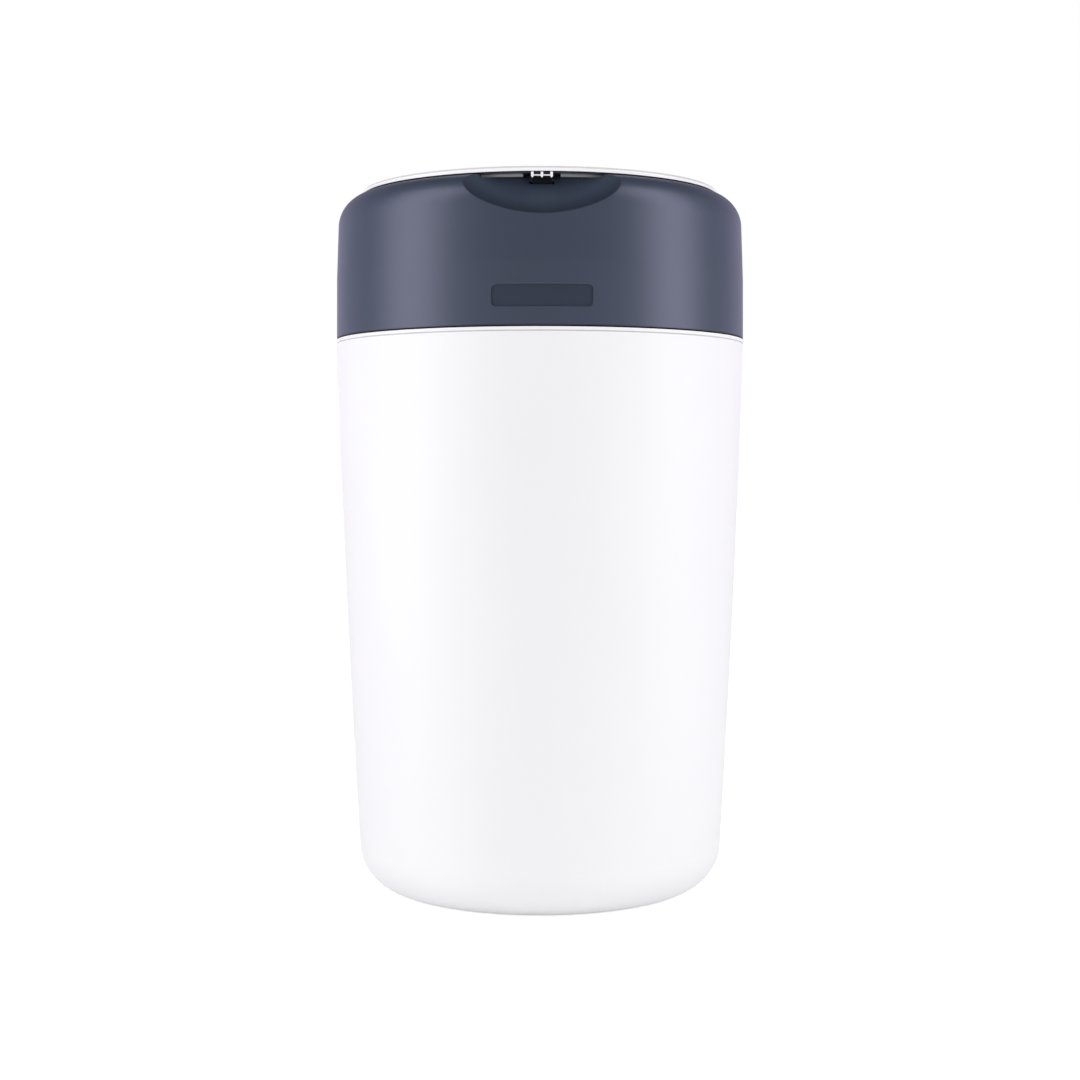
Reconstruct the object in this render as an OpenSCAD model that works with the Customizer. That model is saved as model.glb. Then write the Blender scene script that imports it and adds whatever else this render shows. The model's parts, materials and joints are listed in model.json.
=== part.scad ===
// Nappy bin with a film cassette: a tapered tub, a lift-off upper unit with a cassette ring
// that turns and clicks, and a hinged lid. The front is -Y, the hinge is at +Y and the floor
// is z = 0, with the origin under the middle of the bin. All sizes are in millimetres.

/* [Tub] */
// Height of the tub from the floor to its rim
tub_h = 335.2; // [300:0.2:380]
// Outer radius of the tub at its rim
rim_r = 125; // [112:0.5:138]
// How far the wall line stands in at the floor from the rim
foot_in = 15.8; // [10:0.2:22]
// How far the wall swells past a straight taper at half height
tub_bulge = 1.3; // [0:0.1:3]
// Radius of the rounded bottom edge
bottom_fillet = 28; // [15:1:45]
// Thickness of the tub's wall and floor
tub_wall = 2.8; // [2:0.1:3.4]
// Height of the bead round the rim
bead_h = 2.2; // [1.5:0.1:4]
// Depth of the fine groove under the bead
bead_groove = 0.5; // [0.3:0.1:1]
// Width of the ledge inside the rim
ledge_w = 4.6; // [3:0.1:6]
// Height of the rim above the ledge
ledge_drop = 6.6; // [5:0.1:12]
// Thickness of the ledge
ledge_t = 2.4; // [1.6:0.1:4]
// Width of the ring that the tub stands on
foot_ring_w = 10; // [6:0.5:20]
// Depth of the hollow under the floor
foot_hollow = 1.2; // [0.5:0.1:1.4]

/* [Upper housing] */
// Open seam between the tub's rim and the housing
seam_gap = 0.8; // [0.5:0.1:1.5]
// Height of the housing from the seam to its rim
housing_h = 86.8; // [84:0.2:110]
// Thickness of the housing's wall
housing_wall = 2.6; // [2:0.1:3]
// Height of the straight foot of the housing, under its draft
straight_h = 36; // [20:1:50]
// How much the housing draws in between its foot and its shoulder
shoulder_in = 1; // [0:0.1:2]
// Radius of the rounded shoulder
shoulder_r = 19.4; // [14:0.2:22]
// How far the rim is cut below the top of the shoulder's arc
rim_set = 0.7; // [0.4:0.1:1.2]
// Width of the flat rim outside the gutter
rim_w = 2.6; // [2:0.1:3.5]
// Depth of the gutter that the lid's seal closes on
gutter_d = 2; // [1.5:0.1:2.6]
// Depth of the inner skirt that laps the well
skirt_h = 11; // [6:0.5:16]
// Height of the screw bosses
boss_h = 18; // [16:0.5:26]
// Radius of a screw boss
boss_w = 3.8; // [3:0.1:5]
// How far the bosses stand in from the housing's face
boss_in = 15; // [13:0.5:17]
// Number of screw bosses
boss_n = 6; // [4:1:8]

/* [Finger scoop and catch slot] */
// Radius of the ball that cuts the scoop
scoop_r = 200; // [150:1:260]
// How steeply the ball leans out from the rim
scoop_tilt = 42; // [36:0.5:48]
// Depth of the scoop at the rim, from the housing's face
scoop_depth = 25; // [20:0.5:25]
// Width of the gap in the rim over the scoop
scoop_w = 70; // [62:1:74]
// Width of the catch slot
slot_w = 14; // [12:0.5:20]
// Depth of the catch slot below the rim
slot_h = 5.8; // [5:0.1:8]
// Thickness of the bar that the catch hooks under
latch_bar_t = 1.6; // [1.2:0.1:2]

/* [Label recess and thumb notches] */
// Width of the bare label recess
label_w = 57; // [30:1:80]
// Height of the label recess
label_h = 12.7; // [8:0.1:20]
// Corner radius of the label recess
label_r = 3; // [1:0.1:4]
// Depth of the label recess
label_d = 0.8; // [0.4:0.1:1.2]
// Height of the middle of the recess above the seam
label_up = 16.7; // [12:0.1:30]
// Width of a thumb notch in the housing's lower edge
notch_w = 26; // [16:1:40]
// Height of a thumb notch
notch_h = 3.2; // [2:0.1:5]

/* [Lid and hinge] */
// Gap between the rim and the lid's edge
lid_gap = 0.6; // [0.4:0.1:1]
// How far the lid's edge stands in from the rim's edge
lid_inset = 0.4; // [0.2:0.1:1]
// Height of the lid's edge
lid_edge_h = 3.4; // [3.2:0.1:6]
// Rounding of the lid's edge
lid_round = 2.4; // [1:0.1:2.8]
// Rise of the lid's dome over its edge
lid_crown = 5.4; // [3:0.2:10]
// Thickness of the lid's shell
lid_wall = 2; // [1.6:0.1:2.4]
// Thickness of the lid's liner
liner_t = 1.6; // [1.2:0.1:1.7]
// Depth of the liner's locating ring
locating_h = 4.2; // [2:0.1:6]
// Width of the lid's seal
seal_w = 3.4; // [2.5:0.1:4]
// Width of the hinge knuckle
knuckle_w = 48; // [30:1:60]
// Radius of the hinge knuckle
knuckle_r = 4.5; // [4:0.1:4.8]
// Radius of the hinge pin
pin_r = 2; // [1.5:0.1:2.5]
// Length of pin held in the housing at each end
lug_w = 6; // [4:0.5:10]
// Distance of the hinge axis behind the rim's edge
hinge_out = 2.2; // [1.8:0.1:3]
// Depth of the hinge axis below the rim
hinge_down = 5.8; // [5.6:0.1:6.6]

/* [Well and throat] */
// How far the well that the ring turns in stands in from the housing's face
well_in = 29.6; // [28.4:0.2:31]
// Thickness of the deck's well wall
deck_wall = 2; // [1.6:0.1:2.2]
// Thickness of the deck's floor and flange
deck_floor = 2.6; // [2:0.1:4]
// Height of the deck's underside above the seam
deck_up = 5.4; // [4:0.1:8]
// How far the throat through the deck stands in from the well
throat_in = 35.4; // [34:0.2:42]
// Thickness of the spigot that drops into the tub
spigot_wall = 2.2; // [1.8:0.1:3]
// Height of the rubber ring under the spigot
rim_seal_h = 1.4; // [1:0.1:3]
// Number of retention fingers
finger_n = 12; // [8:1:14]
// Length of a retention finger
finger_l = 28; // [20:1:32]
// Width of a finger at its root
finger_w = 14; // [8:0.5:16]
// Thickness of a finger
finger_t = 1.8; // [1.2:0.1:2.4]
// Slope of the fingers below the level
finger_slope = 24; // [10:1:35]

/* [Cassette ring] */
// Running gap between the ring and the well
ring_gap = 1.2; // [0.8:0.1:2]
// Thickness of the ring's wall
ring_wall = 2.2; // [1.8:0.1:2.6]
// Height of the ring from its floor to its lip
ring_h = 57.4; // [50:0.2:60]
// Number of click teeth
tooth_n = 36; // [24:12:48]
// Height of a click tooth
tooth_h = 1.8; // [1.2:0.1:2]
// Height of the finger grips above the ring's lip
grip_h = 7.4; // [4:0.2:9]
// Number of finger grips
grip_n = 6; // [3:1:8]
// How far the cassette's film mouth stands in from the throat
mouth_in = 2; // [0.5:0.1:4]
// Wall thickness of the cassette
cassette_wall = 1.6; // [1.2:0.1:2]
// Height of the cassette
cassette_h = 55.4; // [44:0.2:57]
// Width of the slit that the film leaves by
film_slit = 3.4; // [2:0.1:5]
// Number of pleats in the film pack
pleat_n = 16; // [8:1:24]

/* [Click pawl and film cutter] */
// Length of the pawl from its pin to its tip
pawl_l = 19.4; // [17:0.2:22]
// Height of the pawl
pawl_h = 5; // [3:0.1:5.4]
// Radius of the pawl's pin
pawl_pin_r = 1.5; // [1:0.1:2]
// Length of the cutter's rail
rail_l = 80; // [60:1:84]
// Depth of the cutter's rail
rail_h = 8; // [6:0.2:10]
// Length of the cutter's slider
slider_l = 16; // [12:1:24]

/* [Hidden] */
$fn = 120;
eps = 0.01;          // overlap that fuses two shapes of one piece
over = 1;            // how far a cut runs past the face that it opens
wall_steps = 12;     // straight stretches in a swelling wall's section
seat_gap = 0.2;      // gap between two pieces that rest on each other
part_gap = 0.3;      // least gap between pieces of two bodies
run_fit = 0.06;      // radial clearance of a pin that a piece turns on
held_fit = 0.01;     // radial clearance of a pin or screw that is held

// tub
foot_r = rim_r - foot_in;
lean = atan((rim_r - foot_r + 4 * tub_bulge * (1 - 2 * bottom_fillet / tub_h)) / tub_h);
corner_z = bottom_fillet * (1 - sin(lean));
corner_x = wall_r(corner_z) - bottom_fillet * cos(lean);
ledge_z = tub_h - ledge_drop;
tub_in_r = wall_r(ledge_z) - tub_wall;

// housing
housing_z = tub_h + seam_gap;
rim_z = housing_z + housing_h;
shoulder_x = rim_r - shoulder_in - shoulder_r;
shoulder_z = rim_z + rim_set - shoulder_r;
rim_edge_r = shoulder_x + sqrt(pow(shoulder_r, 2) - pow(shoulder_r - rim_set, 2));
gutter_r = rim_edge_r - rim_w;
gutter_z = rim_z - gutter_d;
boss_r = rim_r - boss_in;
well_r = rim_r - well_in;
under_z = gutter_z - housing_wall;
skirt_r = well_r + deck_wall + seat_gap;

// finger scoop
scoop_top = rim_r - scoop_depth;
scoop_y = -scoop_top - scoop_r * cos(scoop_tilt);
scoop_z = gutter_z + seat_gap + scoop_r * sin(scoop_tilt);
slot_z = rim_z - slot_h;
latch_y = -(skirt_r + 0.8);  // inner face of the bar that the catch hooks under
latch_bar_w = 1.6;
latch_z = gutter_z - 0.3 - latch_bar_t;

// deck
throat_r = well_r - throat_in;
deck_z = housing_z + deck_up;
deck_top = deck_z + deck_floor;
well_top = under_z - seat_gap - 0.5;
spigot_r = tub_in_r - 0.6;
spigot_z = ledge_z + seat_gap + rim_seal_h;
screw_r = 1.4;
screw_head_r = 3;
screw_head_h = 2;
screw_slot = 0.8;
screw_l = boss_h - 2;
screw_seat_r = 3.2;
screw_seat_h = 2.1;
bearing_w = 2;
bearing_h = 2.7;
bearing_sink = 1;
collar_h = 1.7;
window_y = -13;      // window that the pawl's tip reaches through
window_w = 17;
window_gap = 1.5;

// retention ring
retention_r = throat_r + 3;
retention_w = 17;
retention_t = 2.8;
retention_screw_n = 4;
retention_screw_r = retention_r + retention_w - 6;
retention_screw_l = retention_t + deck_floor + 1;
finger_root_r = retention_r + 2;

// cassette ring
ring_r = well_r - ring_gap - tooth_h;
ring_lip_r = well_r - ring_gap;
ring_in_r = ring_r - ring_wall;
ring_z = deck_top + bearing_h + part_gap;
ring_floor = 2.6;
cassette_in = throat_r - mouth_in;
ring_hole_r = cassette_in + 3.5;
ring_top = ring_z + ring_h;
lip_h = 3;
lip_edge = 0.5;
grip_sink = 8;       // depth of the grip arc's middle under the lip
tooth_z_h = 6;
tooth_first = 0.5;   // turn of the teeth past the pawl's tip
key_w = 4;
key_d = 1.6;
key_h = ring_h - 10;
cassette_z = ring_z + ring_floor;
cassette_r = ring_in_r - 2.4;
cassette_top = cassette_z + cassette_h;
core_r = cassette_in + cassette_wall;
core_drop = 1;       // how far the core's top stands below the body's
cassette_foot_r = cassette_r + 1.8;
cassette_foot_h = 2;
bearing_r = cassette_r - 4;
cap_t = 1.8;
cap_wall = 1.2;
cap_lip = 4.4;       // depth of the cap's outer lip
cap_skirt = 3;       // depth of the cap's inner skirt
cap_edge = 0.8;
cap_in_r = core_r + film_slit;
cap_out_r = cassette_r + seat_gap + cap_wall;
film_room = 4;       // room over the film
film_gap = 1;
pleat_d = 1.2;

// lid
lid_z = rim_z + lid_gap;
lid_r = rim_edge_r - lid_inset;
lid_top = lid_z + lid_edge_h;
liner_z = lid_top - lid_wall - liner_t - seat_gap;
liner_r = lid_r - lid_wall - part_gap;
seal_out_r = skirt_r + 6.4;
seal_z = gutter_z + 0.5;
locating_r = well_r - 1.6;
locating_t = 1.8;
catch_y = -(seal_out_r - 0.6);
catch_w = 11;
catch_t = 1.5;
catch_base_w = 18;
catch_base_d = 5;
catch_base_t = 1;
hook_h = 1.2;
hook_gap = 0.8;      // how far the hook's point stays off the bar's inner face
hook_z = latch_z - part_gap;
liner_rib_n = 8;
liner_rib_t = 1.6;
liner_rib_h = 1.8;
rib_pitch = 5.4;
rib_t = 1.5;
rib_d = 1.6;
rib_in = 0.3;        // how far the ribs stand in from the lid's edge
rib_l = 4;
rib_point = 0.9;
bar_down = 2.3;      // depth and height of the bar between the ribs
bar_h = 0.8;
arm_in = seal_out_r + 0.6;  // hinge arm
arm_top = lid_z - 0.4;
arm_slope = 2.6;
hinge_y = rim_edge_r + hinge_out;
hinge_z = rim_z - hinge_down;
pocket_y = hinge_y - knuckle_r - 4;
pocket_z = hinge_z - knuckle_r - 1;
pocket_w = knuckle_w + 1;
pin_l = pocket_w + 2 * lug_w - 2;

// click pawl, between two bosses on the bin's left side
pawl_at = 210;
pawl_tip_r = ring_r + 0.35;
pawl_out = 11.2;     // how much further out the pivot is than the tip
pawl_pivot = [pawl_tip_r + pawl_out, -sqrt(pow(pawl_l, 2) - pow(pawl_out, 2))];
pawl_seat_r = 3.8;
pawl_hub_r = pawl_pin_r + 2;
pawl_toe = 4.5;      // length and slope of the pawl's face along the ring
pawl_rake = 0.6;
pawl_nose = 4;
pawl_z = ring_z + (tooth_z_h - pawl_h) / 2;
spring_post_y = 6;
spring_post_w = 6;
spring_post_d = 5;
spring_at = [pawl_pivot[0] + 2.4, spring_post_y + 4];
spring_in = 0.5;
spring_t = 0.5;
spring_l = 17;
spring_turn = -20;

// film cutter, under the front of the deck
rail_y = -well_r - 2.6;
rail_w = 16;
rail_z = deck_z - rail_h;
groove_w = 8;
groove_h = rail_h - 3;
rail_lip = 1.6;
rail_end = 9;
travel_l = rail_l - 2 * rail_end;
slider_rest = -travel_l / 2 + slider_l / 2 + 0.5;
neck_w = 5;
guard_w = 5;
thumb_w = 12;
thumb_t = 3;
thumb_z = rail_z - part_gap - thumb_t;
thumb_rib_pitch = 3;
thumb_rib_t = 1.4;
thumb_rib_h = 1;
blade_t = 0.6;
blade_w = 10;
blade_gap = 0.4;
blade_root = 2;
blade_side = 7;
blade_point = rail_w / 2 + guard_w - 1;
blade_z = rail_z + rail_lip + 1.2;
cutter_screw_x = (rail_l - rail_end) / 2;
cutter_screw_l = rail_h - screw_head_h + deck_floor - 0.4;

// Outer radius of the tub at height z: a straight taper with a slight swell
function wall_r(z) = let (t = z / tub_h)
    foot_r + (rim_r - foot_r) * t + 4 * tub_bulge * t * (1 - t);

// Ring with a plain rectangular section
module ring(r_in, r_out, z, h) {
    translate([0, 0, z]) difference() {
        cylinder(r = r_out, h = h);
        translate([0, 0, -over]) cylinder(r = r_in, h = h + 2 * over);
    }
}

// Copies of the children, evenly round the axis
module round_axis(n, first = 0) {
    for (i = [0:n - 1]) rotate(first + i * 360 / n) children();
}

// Box centred on x, from y to y + d and from z to z + h
module block(w, y, d, z, h) {
    translate([-w / 2, y, z]) cube([w, d, h]);
}

// Flat rectangle with round corners, centred on the origin
module round_rect(w, h, r) {
    square([w - 2 * r, h], center = true);
    square([w, h - 2 * r], center = true);
    for (x = [-1, 1], y = [-1, 1]) translate([x * (w / 2 - r), y * (h / 2 - r)]) circle(r = r);
}

// ---- tub ----

// Half section of the tub, drawn in by inset
module tub_section(inset) {
    corner = bottom_fillet - inset;
    top = tub_h + (inset > 0 ? over : 0);
    start_z = bottom_fillet - corner * sin(lean);
    polygon(concat(
        [[0, inset], [corner_x, inset], [corner_x, bottom_fillet],
         [corner_x + corner * cos(lean), start_z]],
        [for (i = [1:wall_steps]) let (z = start_z + (top - start_z) * i / wall_steps)
            [wall_r(z) - inset / cos(lean), z]],
        [[0, top]]));
    translate([corner_x, bottom_fillet]) circle(r = corner);
}

module tub() color("white") {
    difference() {
        rotate_extrude() tub_section(0);
        rotate_extrude() tub_section(tub_wall);
        rotate_extrude() translate([wall_r(tub_h - bead_h), tub_h - bead_h])
            circle(r = bead_groove, $fn = 4);
        translate([0, 0, -over]) cylinder(r = corner_x - foot_ring_w, h = foot_hollow + over);
    }
    // ledge, and the slope that carries it
    low = ledge_z - ledge_t - ledge_w;
    rotate_extrude() polygon([
        [tub_in_r + tub_wall / 2, ledge_z], [tub_in_r - ledge_w, ledge_z],
        [tub_in_r - ledge_w, ledge_z - ledge_t], [wall_r(low) - tub_wall / 2, low]]);
}

// ---- upper housing ----

// Half section of the solid that the housing is cut from, drawn in by inset
module housing_section(inset, top) {
    arc = shoulder_r - inset;
    low = housing_z - (inset > 0 ? over : 0);
    difference() {
        union() {
            polygon([[0, low], [rim_r - inset, low], [rim_r - inset, housing_z + straight_h],
                     [shoulder_x + arc, shoulder_z], [shoulder_x, shoulder_z],
                     [shoulder_x, top], [0, top]]);
            translate([shoulder_x, shoulder_z]) circle(r = arc);
        }
        translate([0, top]) square([rim_r, shoulder_r]);
    }
}

// The housing's outside with its gutter and the hole of the well, but not hollow
module housing_block() {
    rotate_extrude() difference() {
        housing_section(0, rim_z);
        translate([0, gutter_z]) square([gutter_r, gutter_d + over]);
        translate([0, housing_z - over]) square([skirt_r, housing_h + 2 * over]);
    }
}

// The space inside the housing's wall
module housing_hollow() {
    rotate_extrude() difference() {
        housing_section(housing_wall, rim_z - housing_wall / 2);
        translate([0, under_z]) square([gutter_r + housing_wall / 2, shoulder_r]);
    }
}

module scoop_ball(grow) translate([0, scoop_y, scoop_z]) sphere(r = scoop_r + grow, $fn = 256);

module upper_housing() color([0.23, 0.28, 0.35]) {
    housing_shell();
    // bar that the lid's catch hooks under
    block(slot_w + 2 * eps, latch_y - latch_bar_w, latch_bar_w, latch_z, latch_bar_t);
}

module housing_shell() difference() {
    union() {
        difference() {
            housing_block();
            housing_hollow();
        }
        ring(skirt_r, skirt_r + deck_wall, under_z - skirt_h, skirt_h + eps);
        // wall behind the finger scoop
        intersection() {
            housing_block();
            scoop_ball(housing_wall);
            block(2 * scoop_top, -rim_r, rim_r, housing_z, housing_h);
        }
        // block that holds the hinge pin
        intersection() {
            housing_block();
            block(pocket_w + 2 * lug_w, pocket_y - housing_wall, rim_r, pocket_z - housing_wall, housing_h);
        }
        // screw bosses and their webs
        round_axis(boss_n) {
            translate([boss_r, 0, deck_top]) cylinder(r = boss_w, h = boss_h);
            translate([boss_r, -deck_wall / 2, deck_top])
                cube([rim_r - housing_wall / 2 - boss_r, deck_wall, boss_h]);
        }
    }
    scoop_ball(0);
    block(scoop_w, -rim_r, scoop_depth, gutter_z, gutter_d + over);
    block(slot_w, -rim_r, rim_r - skirt_r + over, slot_z, slot_h + over);
    // hinge pocket and the pin's bore
    block(pocket_w, pocket_y, rim_r, pocket_z, housing_h);
    hinge_rod(pin_r + held_fit, pin_l + seat_gap);
    // pilot bores
    round_axis(boss_n) translate([boss_r, 0, deck_top - over])
        cylinder(r = screw_r + held_fit, h = screw_l + over);
    label_recess();
    thumb_notches();
}

// Shallow bare recess that follows the housing's face
module label_recess() {
    intersection() {
        translate([0, 0, housing_z + label_up]) rotate([90, 0, 0]) linear_extrude(rim_r + over)
            round_rect(label_w, label_h, label_r);
        ring(rim_r - label_d, rim_r + over, housing_z, 2 * label_up);
    }
}

// Shallow arches in the lower edge, where thumbs lift the unit
module thumb_notches() {
    arch_r = (pow(notch_w / 2, 2) + pow(notch_h, 2)) / (2 * notch_h);
    for (side = [0, 1]) mirror([side, 0, 0])
        translate([rim_r - housing_wall - over, 0, housing_z + notch_h - arch_r]) rotate([0, 90, 0])
            cylinder(r = arch_r, h = housing_wall + 2 * over);
}

// Rod along the hinge axis
module hinge_rod(r, l) {
    translate([-l / 2, hinge_y, hinge_z]) rotate([0, 90, 0]) cylinder(r = r, h = l);
}

module hinge_pin() color("silver") hinge_rod(pin_r, pin_l);

// ---- deck and throat ----

// Places in the frame of the pawl: x runs outwards and y along the turning direction
module at_pawl() rotate(pawl_at) children();

module at_retention_screws()
    round_axis(retention_screw_n, 45) translate([retention_screw_r, 0, 0]) children();

module at_cutter_screws() for (side = [-1, 1]) translate([side * cutter_screw_x, rail_y, 0]) children();

// Rod along the pawl's axis
module pawl_rod(r) at_pawl() translate([pawl_pivot[0], pawl_pivot[1], deck_z + over])
    cylinder(r = r, h = pawl_h + 2 * deck_floor);

module inner_deck() color("gainsboro") difference() {
    union() {
        ring(well_r, well_r + deck_wall, deck_z, well_top - deck_z);
        ring(throat_r, spigot_r, deck_z, deck_floor);
        ring(spigot_r - spigot_wall, spigot_r, spigot_z, deck_top - spigot_z);
        // collar round the throat
        ring(throat_r, throat_r + deck_wall, deck_top - eps, collar_h);
        // seats for the retention ring's screws
        at_retention_screws() translate([0, 0, deck_top - eps]) cylinder(r = screw_seat_r, h = screw_seat_h);
        // seat of the pawl's pin and post of its spring
        at_pawl() {
            translate([pawl_pivot[0], pawl_pivot[1], deck_top - eps])
                cylinder(r = pawl_seat_r, h = pawl_z - part_gap - deck_top);
            translate([pawl_pivot[0] - 1, spring_post_y, deck_top - eps])
                cube([spring_post_w, spring_post_d, pawl_z + pawl_h - deck_top]);
        }
    }
    // groove that the bearing ring sits in
    ring(bearing_r - held_fit, bearing_r + bearing_w + held_fit, deck_top - bearing_sink, bearing_h);
    // window that the pawl's tip reaches through
    at_pawl() translate([well_r - over, window_y, pawl_z - window_gap])
        cube([deck_wall + 2 * over, window_w, pawl_h + 2 * window_gap]);
    pawl_rod(pawl_pin_r + held_fit);
    at_pawl() spring_leaf(held_fit);
    round_axis(boss_n) translate([boss_r, 0, deck_z - over])
        cylinder(r = screw_r + held_fit, h = deck_floor + 2 * over);
    at_retention_screws() translate([0, 0, deck_z - over])
        cylinder(r = screw_r + held_fit, h = retention_screw_l - retention_t + over + seat_gap);
    at_cutter_screws() translate([0, 0, deck_z - over])
        cylinder(r = screw_r + held_fit, h = deck_floor + 2 * over);
}

// Low ring that the cassette ring turns on
module bearing_ring() color("white")
    ring(bearing_r, bearing_r + bearing_w, deck_top - bearing_sink, bearing_sink + bearing_h);

// Pan head screw from below, its head's seat at z = 0
module screw(l) {
    difference() {
        union() {
            translate([0, 0, -screw_head_h]) cylinder(r = screw_head_r, h = screw_head_h);
            cylinder(r = screw_r, h = l);
        }
        for (a = [0, 90]) rotate(a) translate([-screw_r, -screw_slot / 2, -screw_head_h - eps])
            cube([2 * screw_r, screw_slot, screw_head_h / 2]);
    }
}

module deck_screws() color("silver")
    round_axis(boss_n) translate([boss_r, 0, deck_z]) screw(screw_l);

module rim_seal() color("dimgray") ring(spigot_r - spigot_wall, spigot_r, ledge_z + seat_gap, rim_seal_h);

// Springy tongue that leans inwards and down from the retention ring
module finger() {
    translate([finger_root_r, 0, deck_z - finger_t]) rotate([0, -finger_slope, 0]) rotate([0, 0, 180])
        linear_extrude(finger_t) {
            polygon([[0, -finger_w / 2], [finger_l, -finger_w / 4], [finger_l, finger_w / 4],
                     [0, finger_w / 2]]);
            translate([finger_l, 0]) circle(r = finger_w / 4);
        }
}

module retention_ring() color("lightsteelblue") difference() {
    union() {
        ring(retention_r, retention_r + retention_w, deck_z - retention_t, retention_t);
        intersection() {
            round_axis(finger_n) finger();
            cylinder(r = finger_root_r, h = deck_z);
        }
    }
    at_retention_screws() translate([0, 0, deck_z - retention_t - over])
        cylinder(r = screw_r + held_fit, h = retention_t + 2 * over);
}

module retention_screws() color("silver")
    at_retention_screws() translate([0, 0, deck_z - retention_t]) screw(retention_screw_l);

// ---- click pawl ----

module pawl_pin() color("silver") pawl_rod(pawl_pin_r);

module click_pawl() color("lightsteelblue") at_pawl() translate([0, 0, pawl_z]) difference() {
    linear_extrude(pawl_h) {
        translate(pawl_pivot) circle(r = pawl_hub_r);
        polygon([[pawl_tip_r, -part_gap], [pawl_tip_r + pawl_rake, -pawl_toe],
                 pawl_pivot - [pawl_hub_r - over / 10, -over], pawl_pivot + [0, pawl_hub_r - over / 10],
                 [pawl_tip_r + pawl_nose, -part_gap]]);
    }
    translate([pawl_pivot[0], pawl_pivot[1], -over]) cylinder(r = pawl_pin_r + run_fit, h = pawl_h + 2 * over);
}

// Flat steel leaf from its post to the back of the pawl
module spring_leaf(grow) {
    translate([spring_at[0], spring_at[1], pawl_z + spring_in]) rotate(spring_turn)
        translate([-spring_t / 2 - grow, -spring_l, 0])
            cube([spring_t + 2 * grow, spring_l, pawl_h - 2 * spring_in]);
}

module pawl_spring() color("silver") at_pawl() spring_leaf(0);

// ---- film cutter ----

// Rail with a T groove that opens downwards, and a fin that guards the blade
module cutter_rail() color("lightsteelblue") difference() {
    union() {
        block(rail_l, rail_y - rail_w / 2, rail_w, rail_z, rail_h);
        block(rail_l, rail_y + rail_w / 2 - eps, guard_w + eps, rail_z, rail_lip);
        block(rail_l, rail_y + rail_w / 2 - eps, rail_lip + eps, rail_z, rail_h);
    }
    block(travel_l, rail_y - groove_w / 2, groove_w, rail_z + rail_lip, groove_h - rail_lip);
    block(travel_l, rail_y - neck_w / 2, neck_w, rail_z - over, rail_lip + 2 * over);
    // slot that the blade runs in
    block(travel_l, rail_y, rail_w, blade_z - blade_gap, blade_t + 2 * blade_gap);
    at_cutter_screws() translate([0, 0, rail_z - over]) {
        cylinder(r = screw_r + held_fit, h = rail_h + 2 * over);
        cylinder(r = screw_head_r + held_fit, h = over + screw_head_h);
    }
}

module cutter_screws() color("silver")
    at_cutter_screws() translate([0, 0, rail_z + screw_head_h]) screw(cutter_screw_l);

module cutter_slider() color("orangered") translate([slider_rest, 0, 0]) difference() {
    union() {
        block(slider_l, rail_y - groove_w / 2 + part_gap, groove_w - 2 * part_gap,
              rail_z + rail_lip + part_gap, groove_h - rail_lip - 2 * part_gap);
        block(slider_l, rail_y - neck_w / 2 + part_gap, neck_w - 2 * part_gap,
              rail_z - part_gap - eps, rail_lip + 2 * part_gap + 2 * eps);
        // thumb grip with its ribs
        block(slider_l, rail_y - thumb_w / 2, thumb_w, thumb_z, thumb_t);
        for (i = [-2:2]) translate([i * thumb_rib_pitch, 0, 0])
            block(thumb_rib_t, rail_y - thumb_w / 2, thumb_w, thumb_z - thumb_rib_h, thumb_rib_h + eps);
    }
    block(blade_w, rail_y - blade_root, groove_w, blade_z - held_fit, blade_t + 2 * held_fit);
}

module cutter_blade() color("silver") translate([slider_rest, 0, blade_z]) linear_extrude(blade_t)
    polygon([[-blade_w / 2, rail_y - blade_root], [blade_w / 2, rail_y - blade_root],
             [blade_w / 2, rail_y + blade_side], [0, rail_y + blade_point],
             [-blade_w / 2, rail_y + blade_side]]);

// ---- cassette ring and cassette ----

// Plan of the toothed band: each tooth drops evenly from its tip and ends in a steep face
module tooth_band() difference() {
    polygon([for (i = [0:tooth_n - 1], end = [0, 1])
        let (a = tooth_first + (i + end) * 360 / tooth_n, r = ring_lip_r - end * tooth_h)
        [r * cos(a), r * sin(a)]]);
    circle(r = ring_in_r + ring_wall / 2);
}

module twist_ring() color("lightsteelblue") {
    rotate_extrude() polygon([
        [ring_hole_r, ring_z], [ring_r, ring_z], [ring_r, ring_top - lip_h - tooth_h],
        [ring_lip_r, ring_top - lip_h], [ring_lip_r, ring_top - lip_edge], [ring_lip_r - lip_edge, ring_top],
        [ring_in_r, ring_top], [ring_in_r, ring_z + ring_floor], [ring_hole_r, ring_z + ring_floor]]);
    translate([0, 0, ring_z + eps]) linear_extrude(tooth_z_h) tooth_band();
    // finger grips
    round_axis(grip_n) intersection() {
        ring(ring_in_r + lip_edge, ring_lip_r - 2 * lip_edge, ring_top - lip_h / 2, lip_h / 2 + grip_h);
        translate([ring_in_r - lip_edge, 0, ring_top - grip_sink]) rotate([0, 90, 0])
            cylinder(r = grip_h + grip_sink, h = ring_r - ring_in_r + 4 * lip_edge);
    }
    // keys that turn the cassette
    round_axis(grip_n, 30) translate([ring_in_r - key_d, -key_w / 2, ring_z + ring_floor / 2])
        cube([key_d + ring_wall / 2, key_w, key_h]);
}

module cassette_body() color("white") difference() {
    rotate_extrude() polygon([
        [core_r + held_fit, cassette_z], [cassette_foot_r, cassette_z],
        [cassette_foot_r, cassette_z + cassette_foot_h], [cassette_r, cassette_z + cassette_foot_h],
        [cassette_r, cassette_top], [cassette_r - cassette_wall, cassette_top],
        [cassette_r - cassette_wall, cassette_z + cassette_wall],
        [core_r + held_fit, cassette_z + cassette_wall]]);
    // notches that the ring's keys sit in
    round_axis(grip_n, 30) translate([cassette_r + seat_gap, -key_w / 2 - part_gap, cassette_z - over])
        cube([cassette_foot_r, key_w + 2 * part_gap, cassette_foot_h + 2 * over]);
}

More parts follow.
